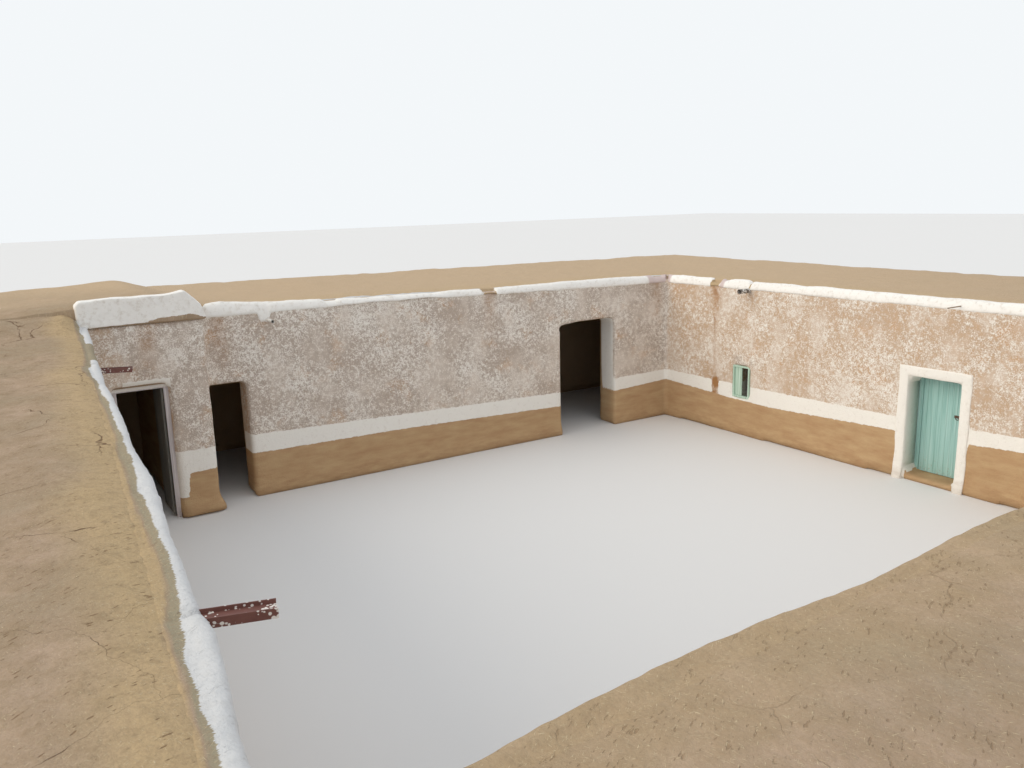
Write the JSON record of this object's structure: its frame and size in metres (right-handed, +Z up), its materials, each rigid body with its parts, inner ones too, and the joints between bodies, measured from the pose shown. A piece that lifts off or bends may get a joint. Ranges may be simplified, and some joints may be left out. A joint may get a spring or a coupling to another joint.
{
  "type": "adobe courtyard house",
  "caption": "One-storey earth house round a courtyard, with flat earth roofs, limewashed copings, spouts and two hinged plank doors.",
  "frame": {"origin": "on the ground, at the centre of the roofs' outline in plan", "axes": "+Z up, +X along the far side of the courtyard towards the east range, +Y from the near range to the far one"},
  "size_m": [21.1376, 20.3362, 3.7],
  "materials": {
    "wall_earth": "rough earth plaster",
    "roof_earth": "rough straw and earth",
    "limewash": "matt limewash",
    "bare_timber": "weathered",
    "turquoise_paint": "faded oil paint",
    "grey_paint": "faded oil paint",
    "green_paint": "faded oil paint",
    "door_iron": "dull",
    "rusty_steel": "rusty red lead",
    "pipe_plastic": "weathered"
  },
  "bodies": {
    "house": {"north_wall": "wall_earth", "north_wall_over_doorways": "wall_earth", "east_wall": "wall_earth", "east_wall_over_openings": "wall_earth", "south_wall": "wall_earth", "south_wall_over_doorways": "wall_earth", "west_wall": "wall_earth", "west_wall_over_doorways": "wall_earth", "outer_north_wall": "wall_earth", "outer_east_wall": "wall_earth", "outer_south_wall": "wall_earth", "outer_south_wall_over_door": "wall_earth", "outer_west_wall": "wall_earth", "raised_room_west_wall": "wall_earth", "raised_room_north_wall": "wall_earth", "raised_room_side_walls": "wall_earth", "raised_room_wall_over_door": "wall_earth", "north_roof": "roof_earth", "east_roof": "roof_earth", "south_roof": "roof_earth", "west_roof": "roof_earth", "raised_room_roof": "roof_earth", "north_coping": "limewash", "east_coping": "limewash", "south_coping": "roof_earth", "west_coping": "limewash", "raised_room_coping": "limewash", "roof_logs": "bare_timber", "corner_girders": "bare_timber", "doorway_lintels": "bare_timber", "steel_spouts": "rusty_steel", "pipe_spouts": "pipe_plastic", "roof_stick": "bare_timber", "east_door_surround": "limewash", "east_door_sill": "wall_earth", "east_door_frame": "bare_timber", "door_hinge_pins": "door_iron", "room_door_frame": "grey_paint", "window_frame": "bare_timber", "window_shutters": "green_paint", "street_door": "bare_timber"},
    "east_door": {"east_door_leaf": "turquoise_paint", "east_door_straps": "door_iron", "east_door_latch": "door_iron"},
    "room_door": {"room_door_leaf": "grey_paint", "room_door_straps": "door_iron"}
  },
  "joints": [
    {"name": "east_door_hinge", "type": "hinge", "parent": "house", "child": "east_door", "pos_m": [6.89772, 0.36446, 1], "axis": [0, 0, 1], "range_deg": [0, 92]},
    {"name": "room_door_hinge", "type": "hinge", "parent": "house", "child": "room_door", "pos_m": [-4.50607, 6.14414, 1], "axis": [0, 0, 1], "range_deg": [0, 90]}
  ]
}
